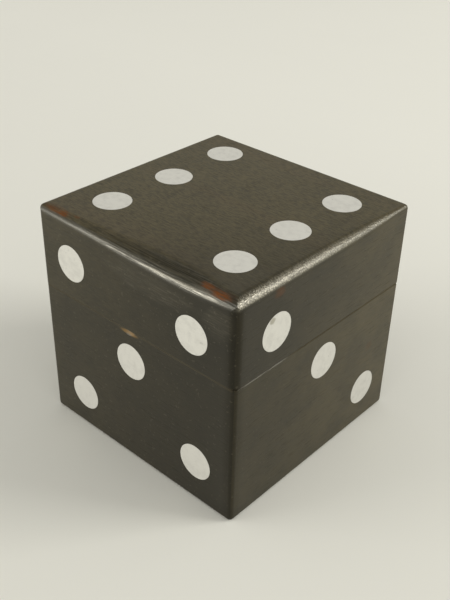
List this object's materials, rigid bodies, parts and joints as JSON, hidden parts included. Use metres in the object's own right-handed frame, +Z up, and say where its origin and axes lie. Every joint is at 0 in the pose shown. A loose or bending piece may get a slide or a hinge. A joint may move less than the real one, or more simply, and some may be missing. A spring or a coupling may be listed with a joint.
{
  "type": "jack in the box",
  "caption": "Dark wooden box shaped like a playing die with flush pale pips; the hinged lid opens and a turned figure rises on a coil spring.",
  "frame": {"origin": "middle of the underside, on the surface that the box stands on", "axes": "+Z up, +X to the right of the five-pip face, which looks towards -Y; the hinge is at the back, +Y"},
  "size_m": [0.08, 0.079, 0.0768],
  "materials": {
    "ebonised_wood": "stained near black, waxed, worn at the edges",
    "pip_inlay": "ground flush, satin",
    "pale_wood": "bare, sanded",
    "hinge_brass": "satin, tarnished",
    "spring_steel": "drawn wire",
    "red_paint": "painted, satin",
    "green_paint": "painted, satin",
    "cream_paint": "painted, satin",
    "face_paint": "painted, satin"
  },
  "bodies": {
    "base": {"base_back": "ebonised_wood", "base_bottom": "ebonised_wood", "base_front": "ebonised_wood", "base_hinge_leaf_left": "hinge_brass", "base_hinge_leaf_right": "hinge_brass", "base_hinge_screws": "hinge_brass", "base_left": "ebonised_wood", "base_right": "ebonised_wood", "hinge_pin_left": "hinge_brass", "hinge_pin_right": "hinge_brass", "lining_back": "pale_wood", "lining_front": "pale_wood", "lining_left": "pale_wood", "lining_right": "pale_wood", "pip_back_2": "pip_inlay", "pip_bottom_1": "pip_inlay", "pip_front_3": "pip_inlay", "pip_front_4": "pip_inlay", "pip_front_5": "pip_inlay", "pip_left_3": "pip_inlay", "pip_left_4": "pip_inlay", "pip_right_2": "pip_inlay", "pip_right_3": "pip_inlay", "spring": "spring_steel", "spring_seat": "pale_wood"},
    "lid": {"lid_back": "ebonised_wood", "lid_front": "ebonised_wood", "lid_hinge_leaf_left": "hinge_brass", "lid_hinge_leaf_right": "hinge_brass", "lid_hinge_screws": "hinge_brass", "lid_left": "ebonised_wood", "lid_right": "ebonised_wood", "lid_top": "ebonised_wood", "pip_top_1": "pip_inlay", "pip_top_2": "pip_inlay", "pip_top_3": "pip_inlay", "pip_top_4": "pip_inlay", "pip_top_5": "pip_inlay", "pip_top_6": "pip_inlay", "pip_front_1": "pip_inlay", "pip_front_2": "pip_inlay", "pip_right_1": "pip_inlay", "pip_back_1": "pip_inlay", "pip_left_1": "pip_inlay", "pip_left_2": "pip_inlay"},
    "jack": {"follower": "pale_wood", "neck_dowel": "pale_wood", "torso": "red_paint", "ruff": "cream_paint", "head": "face_paint", "nose": "red_paint", "cap": "green_paint", "cap_bead": "hinge_brass"}
  },
  "joints": [
    {"name": "lid_hinge", "type": "hinge", "parent": "base", "child": "lid", "pos_m": [0, 0.0382, 0.049], "axis": [-1, 0, 0], "range_deg": [0, 110]},
    {"name": "jack_rise", "type": "slide", "parent": "base", "child": "jack", "axis": [0, 0, 1], "range_m": [0, 0.06], "deforming": ["spring"]}
  ],
  "couplings": [
    {"joint": "jack_rise", "follows": "lid_hinge", "m_per_rad": 0.03125}
  ]
}
